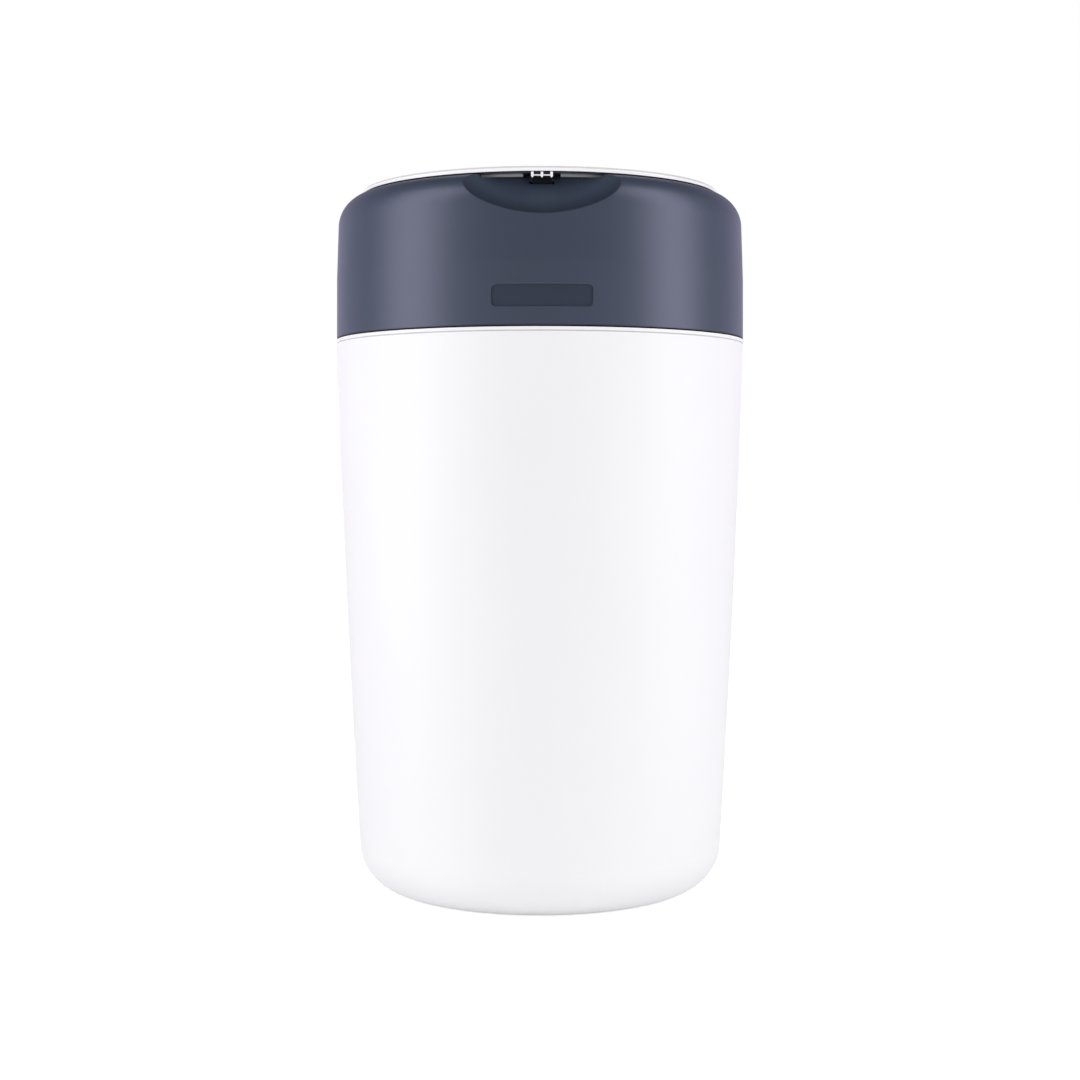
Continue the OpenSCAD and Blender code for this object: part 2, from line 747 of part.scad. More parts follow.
// Sleeve round the cassette's mouth, pressed into the body's floor, with a rounded top edge
module cassette_core() color("white") rotate_extrude() {
    top = cassette_top - core_drop - cassette_wall / 2;
    translate([cassette_in, cassette_z]) square([cassette_wall, top - cassette_z]);
    translate([cassette_in + cassette_wall / 2, top]) circle(r = cassette_wall / 2);
}

module cassette_cap() color("lightsteelblue") rotate_extrude() polygon([
    [cap_in_r, cassette_top - cap_skirt], [cap_in_r + cap_wall, cassette_top - cap_skirt],
    [cap_in_r + cap_wall, cassette_top], [cassette_r + seat_gap, cassette_top],
    [cassette_r + seat_gap, cassette_top - cap_lip], [cap_out_r, cassette_top - cap_lip],
    [cap_out_r, cassette_top + cap_t - cap_edge], [cap_out_r - cap_edge, cassette_top + cap_t],
    [cap_in_r + cap_edge, cassette_top + cap_t], [cap_in_r, cassette_top + cap_t - cap_edge]]);

// Pleated film, packed round the cassette
module film_pack() color("powderblue") {
    low = cassette_z + cassette_wall + seat_gap;
    high = cassette_top - film_room;
    step = (high - low) / pleat_n;
    near = core_r + film_gap;
    far = cassette_r - cassette_wall - film_gap;
    rotate_extrude() polygon(concat(
        [for (i = [0:pleat_n - 1], up = [0, 1]) [far - up * pleat_d, low + (i + up / 2) * step]],
        [[far, high], [near, high]],
        [for (i = [pleat_n - 1:-1:0], up = [1, 0]) [near + up * pleat_d, low + (i + up / 2) * step]]));
}

// ---- lid ----

// Half section of the lid's outside, drawn in by inset
module lid_section(inset) {
    edge = lid_r - inset;
    flat = lid_r - lid_round;
    high = lid_top - inset;
    low = lid_z - (inset > 0 ? over : 0);
    polygon(concat(
        [[0, low], [edge, low], [edge, high - (lid_round - inset)], [flat, high - (lid_round - inset)]],
        [for (i = [0:wall_steps]) let (r = flat * (1 - i / wall_steps))
            [r, high + lid_crown * (1 - pow(r / flat, 2))]]));
    intersection() {
        translate([flat, lid_top - lid_round]) circle(r = lid_round - inset);
        translate([0, lid_top - lid_round]) square([lid_r, lid_round]);
    }
}

module lid_outer() color("white") {
    difference() {
        rotate_extrude() lid_section(0);
        rotate_extrude() lid_section(lid_wall);
    }
    // three pointed ribs that hang over the catch slot, and the bar behind them
    for (i = [-1:1]) translate([i * rib_pitch, -(lid_r - rib_in), lid_z + over / 2]) rotate([-90, 0, 0])
        linear_extrude(rib_d) polygon([[-rib_t / 2, 0], [rib_t / 2, 0], [rib_t / 2, rib_l - rib_point],
                                       [0, rib_l], [-rib_t / 2, rib_l - rib_point]]);
    block(2 * rib_pitch, -(lid_r - rib_in) + rib_d / 2, rib_d / 2, lid_z - bar_down, bar_h);
}

module lid_inner() color([0.23, 0.28, 0.35]) {
    translate([0, 0, liner_z]) cylinder(r = liner_r, h = liner_t);
    // ring that drops into the well, and the stiffening ring and ribs inside it
    ring(locating_r - locating_t, locating_r, liner_z - locating_h, locating_h + eps);
    ring(throat_r - liner_rib_t, throat_r, liner_z - liner_rib_h, liner_rib_h + eps);
    round_axis(liner_rib_n, 180 / liner_rib_n)
        translate([throat_r - liner_rib_t / 2, -liner_rib_t / 2, liner_z - liner_rib_h])
            cube([locating_r - throat_r, liner_rib_t, liner_rib_h + eps]);
    // hinge arm and knuckle
    difference() {
        union() {
            translate([-knuckle_w / 2, 0, 0]) rotate([90, 0, 90]) linear_extrude(knuckle_w) polygon([
                [arm_in, liner_z + eps], [arm_in, gutter_z + part_gap],
                [hinge_y - knuckle_r / 2, hinge_z - knuckle_r / 4], [hinge_y, hinge_z],
                [hinge_y, hinge_z + knuckle_r], [hinge_y - arm_slope, arm_top],
                [liner_r - over, arm_top], [liner_r - over, liner_z + eps]]);
            hinge_rod(knuckle_r, knuckle_w);
        }
        hinge_rod(pin_r + run_fit, knuckle_w + 2 * over);
    }
}

module lid_seal() color("gray") difference() {
    ring(seal_out_r - seal_w, seal_out_r, seal_z, liner_z - seal_z);
    // gap that the catch sits in
    block(catch_base_w + 2 * liner_rib_t, -rim_r, rim_r / 2, seal_z - over, rim_r);
}

// Hooked tongue behind the ribs, which snaps under the housing's bar
module lid_catch() color([0.1, 0.11, 0.13]) {
    base_z = liner_z - catch_base_t;
    block(catch_base_w, catch_y - catch_t, catch_base_d, base_z, catch_base_t);
    block(catch_w, catch_y, catch_t, hook_z - hook_h, base_z - hook_z + hook_h + eps);
    translate([-catch_w / 2, catch_y + catch_t - eps, 0]) rotate([90, 0, 90]) linear_extrude(catch_w)
        polygon([[0, hook_z], [latch_y - catch_y - catch_t - hook_gap, hook_z], [0, hook_z - hook_h]]);
}

tub();
upper_housing();
inner_deck();
bearing_ring();
deck_screws();
rim_seal();
retention_ring();
retention_screws();
hinge_pin();
pawl_pin();
pawl_spring();
click_pawl();
cutter_rail();
cutter_screws();
cutter_slider();
cutter_blade();
twist_ring();
cassette_body();
cassette_core();
cassette_cap();
film_pack();
lid_outer();
lid_inner();
lid_seal();
lid_catch();
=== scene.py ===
"""Looks of the nappy bin: finishes, detailed film, screws and spring, and a plain studio.

Lengths are in metres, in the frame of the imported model: the front is -Y and the floor is z = 0.
"""

import json
import math

import bmesh
import bpy
from mathutils import Matrix, Vector


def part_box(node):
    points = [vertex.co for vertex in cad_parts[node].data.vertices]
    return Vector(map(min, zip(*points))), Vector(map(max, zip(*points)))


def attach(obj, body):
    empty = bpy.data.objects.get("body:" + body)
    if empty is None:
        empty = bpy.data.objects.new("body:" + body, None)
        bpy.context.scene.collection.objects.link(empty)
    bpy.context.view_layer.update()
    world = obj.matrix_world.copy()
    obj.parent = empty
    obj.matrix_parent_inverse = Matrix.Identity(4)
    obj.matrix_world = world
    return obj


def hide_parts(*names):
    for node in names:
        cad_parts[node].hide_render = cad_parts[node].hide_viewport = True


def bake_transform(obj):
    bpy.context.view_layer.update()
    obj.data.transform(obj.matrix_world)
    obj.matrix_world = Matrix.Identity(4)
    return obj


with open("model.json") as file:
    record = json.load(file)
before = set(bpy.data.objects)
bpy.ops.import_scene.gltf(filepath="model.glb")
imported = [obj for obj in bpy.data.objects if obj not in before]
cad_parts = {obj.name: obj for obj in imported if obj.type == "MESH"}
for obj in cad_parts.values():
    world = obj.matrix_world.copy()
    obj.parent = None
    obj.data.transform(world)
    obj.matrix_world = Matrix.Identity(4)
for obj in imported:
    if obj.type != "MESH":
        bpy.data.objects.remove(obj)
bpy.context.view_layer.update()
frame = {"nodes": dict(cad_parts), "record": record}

MM = 0.001
IMAGE = 1080  # the photograph's side in pixels

housing_low, housing_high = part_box("upper_housing")
film_low, film_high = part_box("film_pack")

HOUSING_R = housing_high.x
SEAM_Z = housing_low.z
TUB_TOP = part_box("tub")[1].z
LID_RIM = 8.8 * MM  # from the lid's top down to the underside of its rim
LID_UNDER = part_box("lid_outer")[1].z - LID_RIM


# ---- shader nodes ----


class Wire:
    """One output of a node. Arithmetic on it adds Math nodes."""

    def __init__(self, nodes, socket):
        self.nodes = nodes
        self.socket = socket

    def math(self, operation, first, second=0.0):
        return self.nodes.node("Math", {"operation": operation}, {0: first, 1: second})

    def __add__(self, other):
        return self.math("ADD", self, other)

    def __sub__(self, other):
        return self.math("SUBTRACT", self, other)

    def __rsub__(self, other):
        return self.math("SUBTRACT", other, self)

    def __mul__(self, other):
        return self.math("MULTIPLY", self, other)

    def __truediv__(self, other):
        return self.math("DIVIDE", self, other)

    def __pow__(self, other):
        return self.math("POWER", self, other)

    def __lt__(self, other):
        return self.math("LESS_THAN", self, other)

    def __gt__(self, other):
        return self.math("GREATER_THAN", self, other)

    def __abs__(self):
        return self.math("ABSOLUTE", self)

    __radd__ = __add__
    __rmul__ = __mul__


class Nodes:
    """A node tree. node() adds any node from its type, its settings and its sockets."""

    def __init__(self, owner):
        owner.use_nodes = True
        self.tree = owner.node_tree
        self.tree.nodes.clear()

    def node(self, kind, settings=None, sockets=None, output=0):
        made = self.tree.nodes.new("ShaderNode" + kind)
        for key, value in (settings or {}).items():
            if key == "stops":
                set_stops(made.color_ramp, value)
            else:
                setattr(made, key, value)
        for key, value in (sockets or {}).items():
            if isinstance(value, Wire):
                self.tree.links.new(value.socket, made.inputs[key])
            else:
                made.inputs[key].default_value = value
        return Wire(self, made.outputs[output]) if made.outputs else None

    def place(self):
        """Position in the model's frame, in metres."""
        return self.node("TexCoord", output=3)

    def axes(self, world_ray=False):
        """x, y and z of the position, or of a world ray's direction, as three numbers."""
        at = self.node("TexCoord", output=0) if world_ray else self.place()
        split = self.node("SeparateXYZ", sockets={0: at})
        return [Wire(self, split.socket.node.outputs[i]) for i in range(3)]

    def stretched(self, scale):
        """The position, scaled along each axis, for grain that runs one way."""
        sockets = {"Vector": self.place(), "Scale": scale}
        return self.node("Mapping", {"vector_type": "POINT"}, sockets)

    def noise(self, size, detail=2.0, at=None):
        """Noise from 0 to 1 whose lumps are about size metres across."""
        return self.node("TexNoise", None, {
            "Vector": at or self.place(), "Scale": 1 / size, "Detail": detail, "Roughness": 0.55})

    def ramp(self, value, stops):
        """A value passed through a ramp of (position, grey) stops."""
        grey = [(at, (level, level, level, 1)) for at, level in stops]
        return self.node("ValToRGB", {"stops": grey}, {0: value})

    def blend(self, mask, first, second):
        """Colour that runs from first to second as the mask goes from 0 to 1."""
        return self.node("Mix", {"data_type": "RGBA"}, {0: mask, 6: first, 7: second}, output=2)

    def relief(self, height, depth, on=None):
        """Bump of a height from 0 to 1 that is depth metres deep, on other normals if given."""
        sockets = {"Height": height, "Distance": depth, "Strength": 1.0}
        if on:
            sockets["Normal"] = on
        return self.node("Bump", None, sockets)

    def soft_edges(self, radius):
        """Normals rounded over the moulding's edges."""
        return self.node("Bevel", {"samples": 6}, {"Radius": radius})

    def edge_mask(self, rounded):
        """1 on the edges that soft_edges rounds, 0 on open faces."""
        flat = self.node("NewGeometry", output=1)
        facing = self.node("VectorMath", {"operation": "DOT_PRODUCT"}, {0: rounded, 1: flat}, 1)
        return self.ramp(1 - facing, [(0.0, 0.0), (0.12, 1.0)])

    def surface(self, **sockets):
        """Principled shader joined to the output, its sockets named with _ for a space."""
        named = {key.replace("_", " "): value for key, value in sockets.items()}
        shader = self.node("BsdfPrincipled", None, named)
        self.node("OutputMaterial", None, {"Surface": shader})


def set_stops(ramp, stops):
    while len(ramp.elements) < len(stops):
        ramp.elements.new(0.5)
    for element, (at, colour) in zip(ramp.elements, stops):
        element.position = at
        element.color = colour


def paint(*rgb):
    return (*rgb, 1.0)


def tinted(colour, factor):
    return (*[min(1.0, part * factor) for part in colour[:3]], 1.0)


def band(value, middle, half):
    """Mask of 1 where a value is within half of the middle."""
    return abs(value - middle) < half


# ---- finishes ----


def mould_marks(n, flow_size, drawn, grain, edge):
    """A moulding's flow shading, cloudy gloss, fine grain, rounded edges, and the edge mask for their
    wear and painted highlight.
    """
    streaks = n.noise(flow_size, 2, n.stretched((1, 1, drawn)))
    flow = n.ramp(streaks, [(0.3, 0.0), (0.7, 1.0)])
    cloud = n.noise(30 * MM, 2)
    fine = n.noise(grain, 1)
    rounded = n.soft_edges(edge)
    return flow, cloud, fine, rounded, n.edge_mask(rounded)


def moulded(name, colour, gloss, grain, depth, edge, shine=0.5, line=None, line_tone=0.01):
    """Injection moulded plastic: flow shading, cloudy gloss, a fine grain and edges lightened for
    wear and painted highlight.

    gloss is the least roughness, grain and depth are the texture's size and relief, and edge is
    the moulding's corner radius. line gives the mask of a line of painted shade, such as a
    painted shadow gap or a shaded groove, from the radius and the height, and line_tone is its
    share of the colour.
    """
    flow_size, drawn = 90 * MM, 0.35
    material = bpy.data.materials.new(name)
    n = Nodes(material)
    flow, cloud, fine, rounded, wear_and_highlight = mould_marks(n, flow_size, drawn, grain, edge)
    body = n.blend(flow, tinted(colour, 0.985), tinted(colour, 1.01))
    # lighter edges: partly wear, partly a painted highlight along them
    body = n.blend(wear_and_highlight * 0.3, body, tinted(colour, 1.2))
    rough = gloss + 0.025 * cloud + 0.08 * wear_and_highlight
    if line:
        x, y, z = n.axes()
        mask = line((x * x + y * y) ** 0.5, z)
        # painted shade: the line's mask darkens the colour towards line_tone
        body = n.blend(mask, body, tinted(colour, line_tone))
        rough = rough + 0.2 * mask
    n.surface(Base_Color=body, Roughness=rough, Normal=n.relief(fine, depth, rounded), IOR=1.49,
              Specular_IOR_Level=shine)
    return material


def tub_white():
    """Satin white, with painted shade darkening the groove under the rim."""
    groove_z, groove_half = TUB_TOP - 2.2 * MM, 0.32 * MM
    return moulded("tub_white", paint(0.885, 0.882, 0.878), gloss=0.44, grain=0.8 * MM,
                   depth=0.002 * MM, edge=0.3 * MM, shine=0.32, line_tone=0.72,
                   # painted shade: the groove under the rim is darkened in the colour
                   line=lambda radius, z: band(z, groove_z, groove_half))


def lid_white():
    """Gloss white, with a painted shadow in black under the lid's edge and a faint grey line of
    painted shade over it.
    """
    shadow_line_z, shadow_line_half = LID_UNDER + 0.1 * MM, 0.2 * MM
    top_shade_z, top_shade_half, top_shade_strength = LID_UNDER + 2.6 * MM, 0.6 * MM, 0.26
    rim_r = 106 * MM

    def lines(radius, z):
        # painted shadow: a black line under the lid's edge stands for the shadow gap there
        gap_shadow = band(z, shadow_line_z, shadow_line_half)
        # painted shade: a faint grey line darkens the top of the lid's rounded edge
        step = band(z, top_shade_z, top_shade_half)
        return (gap_shadow + top_shade_strength * step) * (radius > rim_r)

    return moulded("lid_white", paint(0.95, 0.948, 0.945), gloss=0.3, grain=0.8 * MM,
                   depth=0.002 * MM, edge=0.25 * MM, line=lines)


def catch_black():
    return moulded("catch_black", paint(0.008, 0.009, 0.011), gloss=0.42, grain=0.5 * MM,
                   depth=0.006 * MM, edge=0.25 * MM, shine=0.12)


def deck_white():
    """Satin white, with a painted shadow: a black line round the spigot where the tub and the housing
    meet.
    """
    shadow_line_z, shadow_line_half, spigot_r = SEAM_Z - 0.4 * MM, 0.9 * MM, 121 * MM
    return moulded("deck_white", paint(0.74, 0.76, 0.78), gloss=0.4, grain=0.6 * MM,
                   depth=0.006 * MM, edge=0.35 * MM,
                   # painted shadow: a black line round the spigot stands for the shade in the seam's
                   # gap
                   line=lambda radius, z: band(z, shadow_line_z, shadow_line_half) * (radius > spigot_r))


def cassette_white():
    return moulded("cassette_white", paint(0.84, 0.84, 0.82), gloss=0.36, grain=0.7 * MM,
                   depth=0.004 * MM, edge=0.3 * MM)


def cassette_cap_blue():
    return moulded("cassette_cap_blue", paint(0.27, 0.47, 0.60), gloss=0.34, grain=0.7 * MM,
                   depth=0.004 * MM, edge=0.3 * MM)


def mechanism_blue():
    return moulded("mechanism_blue", paint(0.17, 0.30, 0.41), gloss=0.36, grain=0.6 * MM,
                   depth=0.006 * MM, edge=0.3 * MM)


def slider_orange():
    return moulded("slider_orange", paint(0.72, 0.17, 0.035), gloss=0.38, grain=0.5 * MM,
                   depth=0.006 * MM, edge=0.25 * MM)


def housing_blue_grey():
    """Satin dark blue-grey, polished in the label recess; painted shade darkens the finger scoop
    and a painted shadow line runs along the bottom edge at the seam.
    """
    colour = paint(0.029, 0.046, 0.073)
    flow_size, drawn, grain, edge = 120 * MM, 0.4, 0.6 * MM, 0.5 * MM
    label_w, label_h, label_up, label_d = 57 * MM, 12.7 * MM, 16.7 * MM, 0.8 * MM
    scoop_r, scoop_tilt, scoop_back = 200 * MM, math.radians(42), 100 * MM
    scoop_top = housing_high.z - 1.8 * MM
    scoop_near = 0.3 * MM  # a point this near the scoop's ball is on the scoop
    scoop_painted_shade_depth = 9 * MM  # painted shade: the scoop's colour is darkest at its edge and lifts over this much depth
    seam_painted_shadow = 0.55 * MM
    material = bpy.data.materials.new("housing_blue_grey")
    n = Nodes(material)
    flow, cloud, fine, rounded, wear_and_highlight = mould_marks(n, flow_size, drawn, grain, edge)
    x, y, z = n.axes()
    radius = (x * x + y * y) ** 0.5
    label = (abs(x) < label_w / 2) * band(z, SEAM_Z + label_up, label_h / 2)
    polished = label * (radius < HOUSING_R - label_d / 2) * (y < 0)
    ball_y = y + scoop_back + scoop_r * math.cos(scoop_tilt)
    ball_z = z - scoop_top - scoop_r * math.sin(scoop_tilt)
    ball = (x * x + ball_y * ball_y + ball_z * ball_z) ** 0.5
    # painted shade: the scoop is coloured darker, darkest towards its lower edge
    inward = n.ramp((HOUSING_R - MM - radius) / scoop_painted_shade_depth, [(0.0, 0.0), (1.0, 1.0)])
    scoop_painted_shade = n.blend(inward, paint(0.009, 0.017, 0.032), tinted(colour, 0.92))
    body = n.blend(flow, tinted(colour, 0.96), tinted(colour, 1.05))
    body = n.blend(polished, body, paint(0.016, 0.028, 0.049))
    body = n.blend(band(ball, scoop_r, scoop_near), body, scoop_painted_shade)
    # painted shadow: a near-black strip along the housing's bottom edge stands for the seam's shadow
    # gap
    body = n.blend(z < SEAM_Z + seam_painted_shadow, body, paint(0.006, 0.006, 0.009))
    # lighter edges: partly wear, partly a painted highlight along the rims
    body = n.blend(wear_and_highlight * 0.3, body, paint(0.070, 0.090, 0.130))
    rough = 0.40 + 0.03 * cloud - 0.08 * polished
    n.surface(Base_Color=body, Roughness=rough, Normal=n.relief(fine, 0.004 * MM, rounded),
              IOR=1.91, Specular_Tint=paint(0.84, 0.83, 1.0))
    return material


def seal_rubber():
    """Matt black rubber with a dusty bloom."""
    return rubber("seal_rubber", paint(0.016, 0.017, 0.018), paint(0.06, 0.06, 0.062))


def lid_seal_grey():
    return rubber("lid_seal_grey", paint(0.36, 0.365, 0.38), paint(0.45, 0.455, 0.47))


def rubber(name, colour, bloom):
    pore, depth, edge = 0.5 * MM, 0.03 * MM, 0.3 * MM
    material = bpy.data.materials.new(name)
    n = Nodes(material)
    dust = n.noise(6 * MM, 5)
    pores = n.node("TexVoronoi", {"feature": "F1"}, {"Vector": n.place(), "Scale": 1 / pore})
    body = n.blend(n.ramp(dust, [(0.45, 0.0), (0.75, 0.6)]), colour, bloom)
    n.surface(Base_Color=body, Roughness=0.72 + 0.12 * dust,
              Normal=n.relief(pores, depth, n.soft_edges(edge)), Specular_IOR_Level=0.3)
    return material


def screw_steel():
    """Zinc plated steel with a faint yellow cast in the cloudy patches."""
    material = bpy.data.materials.new("screw_steel")
    n = Nodes(material)
    cloud = n.noise(3 * MM, 4)
    fine = n.noise(0.25 * MM, 2)
    yellowed = n.ramp(cloud, [(0.35, 0.0), (0.7, 1.0)])
    body = n.blend(yellowed, paint(0.52, 0.53, 0.55), paint(0.60, 0.58, 0.53))
    n.surface(Base_Color=body, Metallic=1.0, Roughness=0.28 + 0.18 * cloud + 0.05 * fine,
              Normal=n.relief(fine, 0.01 * MM))
    return material


def blade_steel():
    """Ground steel: fine lines across the blade."""
    material = bpy.data.materials.new("blade_steel")
    n = Nodes(material)
    lines = n.noise(0.3 * MM, 3, n.stretched((1, 0.04, 1)))
    body = n.blend(lines, paint(0.55, 0.56, 0.58), paint(0.68, 0.69, 0.70))
    n.surface(Base_Color=body, Metallic=1.0, Roughness=0.2 + 0.15 * lines,
              Normal=n.relief(lines, 0.008 * MM))
    return material


def film_blue():
    """Thin multilayer film: milky blue with crinkles."""
    material = bpy.data.materials.new("film_blue")
    n = Nodes(material)
    crinkle = n.noise(4 * MM, 6, n.stretched((1, 1, 2.5)))
    cloud = n.noise(20 * MM, 3)
    milky = n.ramp(crinkle, [(0.3, 0.0), (0.7, 1.0)])
    body = n.blend(milky, paint(0.36, 0.55, 0.66), paint(0.60, 0.74, 0.80))
    body = n.blend(0.4 * cloud, body, paint(0.70, 0.80, 0.84))
    n.surface(Base_Color=body, Roughness=0.22 + 0.2 * crinkle, IOR=1.5, Coat_Weight=0.3,
              Coat_Roughness=0.15, Normal=n.relief(crinkle, 0.25 * MM))
    return material


FINISHES = {make.__name__: make() for make in (
    tub_white, lid_white, catch_black, deck_white, cassette_white, cassette_cap_blue,
    mechanism_blue, slider_orange, housing_blue_grey, seal_rubber, lid_seal_grey, screw_steel,
    blade_steel, film_blue)}


def dress_cad_nodes():
    """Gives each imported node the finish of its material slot."""
    for part in frame["record"]["subparts"]:
        mesh = frame["nodes"][part["node"]].data
        mesh.materials.clear()
        mesh.materials.append(FINISHES[part["material_slot"]])


# ---- pieces ----


def added(name, data):
    """An object in the scene that holds a mesh, a camera or a lamp."""
    thing = bpy.data.objects.new(name, data)
    bpy.context.scene.collection.objects.link(thing)
    return thing


def skin(made, rows, looped):
    """Skin over rows of points that each close on themselves. Its ends are joined if it is
    looped, and capped if not."""
    rings = [[made.verts.new(point) for point in row] for row in rows]
    for row, after in zip(rings, rings[1:] + (rings[:1] if looped else [])):
        for i in range(len(row)):
            j = (i + 1) % len(row)
            made.faces.new((row[i], row[j], after[j], after[i]))
    if not looped:
        for cap in (rings[0], rings[-1]):
            made.faces.new(cap)


def piece(name, shells, slot, body=None, smooth=True, looped=False):
    """An object skinned over the rows of each shell, riding on a body if one is named."""
    mesh = bpy.data.meshes.new(name)
    made = bmesh.new()
    for rows in shells:
        skin(made, rows, looped)
    bmesh.ops.recalc_face_normals(made, faces=made.faces)
    made.to_mesh(mesh)
    made.free()
    mesh.materials.append(FINISHES[slot])
    for face in mesh.polygons:
        face.use_smooth = smooth
    shape = added(name, mesh)
    if body:
        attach(shape, body)
    return shape


def full_turn(steps, start=0):
    """Angles in equal steps round a full turn, from the step numbered start."""
    return [2 * math.pi * (step + start) / steps for step in range(steps)]


def min_radius(node):
    """Smallest distance of a node's surface from the bin's axis."""
    return min(math.hypot(v.co.x, v.co.y) for v in frame["nodes"][node].data.vertices)


def film_pleats():
    """Film folded into the cassette: every pleat wavers in depth and height on its way round."""
    folds, steps = 30, 144
    side_gap, end_gap = 0.2 * MM, 0.3 * MM
    inner, outer = min_radius("film_pack") + side_gap, film_high.x - side_gap
    low, high = film_low.z + end_gap, film_high.z - end_gap
    pitch = (high - low) / folds
    lift_share, lift_lobes = 0.22, 9
    ridge, valley, dip_lobes = 0.3, 0.5, 14  # mm from the wall to a ridge, and from it to a valley

    def waver(fold, angle, lobes):
        first = math.sin(lobes * angle + 2.4 * fold)
        second = math.sin((lobes + 4) * angle - 1.7 * fold)
        return (first + second) / 2

    def profile(angle):
        out, back = [], []
        for fold in range(folds):
            for half in (0, 1):
                z = low + (fold + half / 2 + 0.15) * pitch
                lift = lift_share * pitch * waver(fold, angle, lift_lobes)
                dip = (ridge + valley * half) * MM * (1.4 + waver(fold, angle, dip_lobes))
                out.append((outer - dip, z + lift))
                back.append((inner + dip, z + lift))
        return out + back[::-1]

    rows = [[(r * math.cos(angle), r * math.sin(angle), z) for r, z in profile(angle)]
            for angle in full_turn(steps)]
    pleats = piece("film_pleats", [rows], "film_blue", "cassette_ring", looped=True)
    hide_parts("film_pack")


def gate_mark():
    """Ring and trimmed nub that the sprue left under the middle of the tub."""
    under = 1.2 * MM  # the recess inside the foot ring
    steps = 40
    # radius and height over the recess, in mm
    profile = ((6.0, 0.1), (5.9, -0.2), (5.5, -0.3), (5.1, -0.2), (4.9, -0.05), (2.0, -0.05),
               (1.7, -0.3), (1.2, -0.42), (0.4, -0.38))
    rows = [[(r * MM * math.cos(a), r * MM * math.sin(a), under + up * MM)
             for a in full_turn(steps)] for r, up in profile]
    piece("gate_mark", [rows], "tub_white", "tub")


def screw_spots(node):
    """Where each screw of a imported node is: x and y of its middle, and its lowest and highest z."""
    reach = 7 * MM  # more than a head's width, and less than from screw to screw
    groups = []
    for vertex in frame["nodes"][node].data.vertices:
        for group in groups:
            if math.hypot(vertex.co.x - group[0].x, vertex.co.y - group[0].y) < reach:
                group.append(vertex.co)
                break
        else:
            groups.append([vertex.co])
    for group in groups:
        xs, ys, zs = ([point[i] for point in group] for i in range(3))
        yield (min(xs) + max(xs)) / 2, (min(ys) + max(ys)) / 2, min(zs), max(zs)


def cross_outline(arm, half_width):
    """24 points round a screwdriver's cross, matched in order to equal steps round a circle."""
    middle = (arm + half_width) / 2
    quarter = [(arm, -half_width), (arm, 0), (arm, half_width), (middle, half_width),
               (half_width, half_width), (half_width, middle)]
    points = []
    for _ in range(4):
        points += quarter
        quarter = [(-y, x) for x, y in quarter]
    return points


def screw_rows(low, high):
    """A pan head screw, driven from below: cross recess, domed head, thread and blunt tip."""
    head_h, root, crest, pitch = 2.0 * MM, 1.02 * MM, 1.38 * MM, 1.25 * MM
    tip_h, tip_r, tip_share = 1.5 * MM, 0.35 * MM, 0.45
    flank = 3.6  # how steeply the thread rises from its root
    rows_per_turn = 7
    # the cross's arm and half width, or the head's radius, each with its height, in mm
    recess = ((0.9, 0.22, 1.0), (1.25, 0.32, 0.9), (1.38, 0.38, 0.08), (1.42, 0.42, 0.0))
    head = ((1.9, 0.0), (2.35, 0.06), (2.7, 0.28), (2.9, 0.62), (2.98, 1.1), (2.98, 1.8),
            (2.9, 1.96), (1.5, 1.98), (1.3, 2.05))
    angles = full_turn(steps=24, start=-1)

    def ring(radius, z):
        return [(radius(a) * math.cos(a), radius(a) * math.sin(a), z) for a in angles]

    for arm, half_width, up in recess:
        yield [(x * MM, y * MM, low + up * MM) for x, y in cross_outline(arm, half_width)]
    for r, up in head:
        yield ring(lambda a: r * MM, low + up * MM)
    z = low + head_h + 0.25 * MM
    while z < high - 0.2 * MM:
        taper = min(1.0, (high - z) / tip_h + tip_share)

        def thread(a):
            turn = (z / pitch - a / (2 * math.pi)) % 1
            return taper * (root + (crest - root) * max(0.0, 1 - abs(turn - 0.5) * flank))

        yield ring(thread, z)
        z += pitch / rows_per_turn
    yield ring(lambda a: tip_r, high)


def detailed_screws(node, body):
    """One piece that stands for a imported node's screws, each turned its own way."""

    def shell(index, x, y, low, high):
        turn = 0.9 * index + 0.4
        c, s = math.cos(turn), math.sin(turn)
        return [[(x + px * c - py * s, y + px * s + py * c, pz) for px, py, pz in row]
                for row in screw_rows(low, high)]

    shells = [shell(index, *spot) for index, spot in enumerate(screw_spots(node))]
    threaded = piece(node + "_threaded", shells, "screw_steel", body)
    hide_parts(node)


def pawl_spring_leaf():
    """Leaf spring: its root stays in the deck's post and its tip lies by the pawl."""
    corners = [v.co.copy() for v in frame["nodes"]["pawl_spring"].data.vertices]
    pin = sum(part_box("pawl_pin"), Vector()) / 2
    corners.sort(key=lambda at: math.hypot(at.x - pin.x, at.y - pin.y))
    half = len(corners) // 2
    tip = sum(corners[:half], Vector()) / half
    root = sum(corners[half:], Vector()) / (len(corners) - half)
    along = tip - root
    side = Vector((-along.y, along.x, 0)).normalized()
    tall = max(at.z for at in corners) - min(at.z for at in corners)
    thick, trim, sections = 0.5 * MM, 0.14 * MM, 24
    end_trim, end_share = 0.5 * MM, 0.02  # the ends are lower, over this share of the length

    def section(share):
        middle = root + along * share
        t, h = thick / 2, tall / 2 - (end_trim if share in (0, 1) else 0)
        outline = ((t, h - trim), (t, trim - h), (t - trim, -h), (trim - t, -h),
                   (-t, trim - h), (-t, h - trim), (trim - t, h), (t - trim, h))
        return [middle + side * across + Vector((0, 0, up)) for across, up in outline]

    inside = [end_share + 0.96 * i / sections for i in range(sections + 1)]
    rows = [section(share) for share in (0, *inside, 1)]
    leaf = piece("pawl_spring_leaf", [rows], "screw_steel", smooth=False)
    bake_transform(leaf)
    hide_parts("pawl_spring")


# ---- studio ----


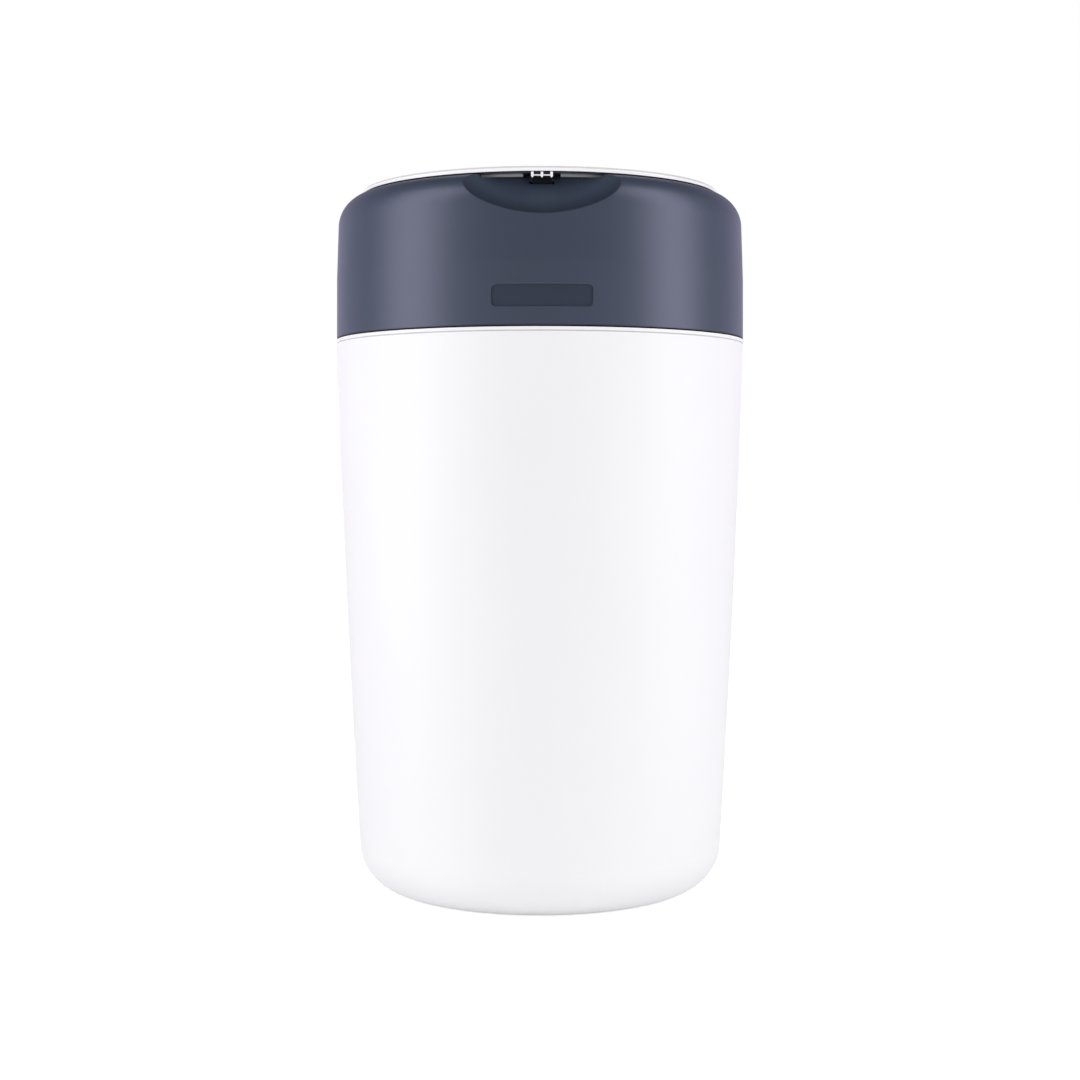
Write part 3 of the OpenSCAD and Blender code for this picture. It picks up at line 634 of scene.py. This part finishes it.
def studio_camera():
    """The photograph's view: level, and turned a touch to the bin's left."""
    focal_px, horizon_px = 1895.8, 472.1
    turn, distance, height = math.radians(0.58), 1174.1 * MM, 254.4 * MM
    data = bpy.data.cameras.new("camera")
    data.sensor_width = 36
    data.lens = focal_px / IMAGE * data.sensor_width
    data.shift_y = (horizon_px - IMAGE / 2) / IMAGE
    camera = added("camera", data)
    camera.location = (-distance * math.sin(turn), -distance * math.cos(turn), height)
    camera.rotation_euler = (math.radians(90), 0, -turn)
    bpy.context.scene.camera = camera


def softbox(name, azimuth, width, radiance):
    """Tall area lamp that faces the bin. Azimuth 0 is at the camera and runs to the right."""
    tall, distance, height = 1.7, 1.1, 0.75
    middle = Vector((0, 0, 0.24))  # of the bin
    violet = (0.93, 0.91, 1.0)
    data = bpy.data.lights.new(name, "AREA")
    data.shape = "RECTANGLE"
    data.size, data.size_y = width, tall
    data.energy = radiance * math.pi * width * tall
    data.color = violet
    lamp = added(name, data)
    turn = math.radians(azimuth)
    lamp.location = (distance * math.sin(turn), -distance * math.cos(turn), height)
    lamp.rotation_euler = (middle - lamp.location).to_track_quat("-Z", "Y").to_euler()


def studio_world():
    """White behind the object, with light mostly from the front and a dim room to reflect."""
    room_fill, front_fill, back_fill = 0.24, 0.97, 1.15
    room_gloss, ceiling_gloss, back_gloss = 0.13, 0.05, 0.72
    world = bpy.data.worlds.new("studio")
    bpy.context.scene.world = world
    n = Nodes(world)
    camera_ray = n.node("LightPath", output=0)
    glossy_ray = Wire(n, camera_ray.socket.node.outputs["Is Glossy Ray"])
    x, y, z = n.axes(world_ray=True)
    before = n.ramp(0 - y, [(0.0, 0.0), (1.0, 1.0)])
    behind = n.ramp(y, [(0.35, 0.0), (0.9, 1.0)])
    far_behind = n.ramp(y, [(0.4, 0.0), (0.9, 1.0)])
    above = n.ramp(z, [(0.15, 0.0), (0.7, 1.0)])
    gloss = room_gloss + (ceiling_gloss - room_gloss) * above + back_gloss * behind * (1 - above)
    fill = room_fill + front_fill * before + back_fill * far_behind
    light = glossy_ray * gloss + (1 - glossy_ray) * fill
    strength = camera_ray + (1 - camera_ray) * light
    colour = n.blend(glossy_ray, paint(1, 1, 1), paint(1.0, 0.89, 1.18))
    background = n.node("Background", None, {"Color": colour, "Strength": strength})
    n.node("OutputWorld", None, {"Surface": background})


def floor_white():
    """Pale floor that looks white, keeps a soft shadow and lights the bin from below."""
    glow, spill = 0.78, 0.16  # what the floor gives off to the camera, and to the bin
    white = paint(1, 1, 1)
    material = bpy.data.materials.new("floor_white")
    n = Nodes(material)
    body = n.blend(n.noise(30 * MM, 2), paint(0.50, 0.50, 0.51), paint(0.52, 0.52, 0.53))

    def lifted(colour, strength):
        plain = n.node("BsdfDiffuse", None, {"Color": colour})
        lift = n.node("Emission", None, {"Color": white, "Strength": strength})
        return n.node("AddShader", None, {0: plain, 1: lift})

    camera_ray = n.node("LightPath", output=0)
    shown = n.node("MixShader", None, {
        0: camera_ray, 1: lifted(paint(0.8, 0.8, 0.8), spill), 2: lifted(body, glow)})
    n.node("OutputMaterial", None, {"Surface": shown})
    return material


def studio_floor():
    reach, below = 12.0, 0.05 * MM
    made = bmesh.new()
    bmesh.ops.create_grid(made, x_segments=4, y_segments=4, size=reach,
                          matrix=Matrix.Translation((0, 0, -below)))
    mesh = bpy.data.meshes.new("studio_floor")
    made.to_mesh(mesh)
    made.free()
    mesh.materials.append(floor_white())
    floor = added("studio_floor", mesh)


def studio():
    studio_world()
    studio_floor()
    softbox("left_softbox", azimuth=-72, width=0.71, radiance=2.1)
    softbox("right_softbox", azimuth=74, width=0.58, radiance=2.4)
    scene = bpy.context.scene
    scene.view_settings.view_transform = "Standard"


studio_camera()
dress_cad_nodes()
film_pleats()
gate_mark()
pawl_spring_leaf()
for screws in ("deck_screws", "retention_screws", "cutter_screws"):
    detailed_screws(screws, "upper_unit")
studio()
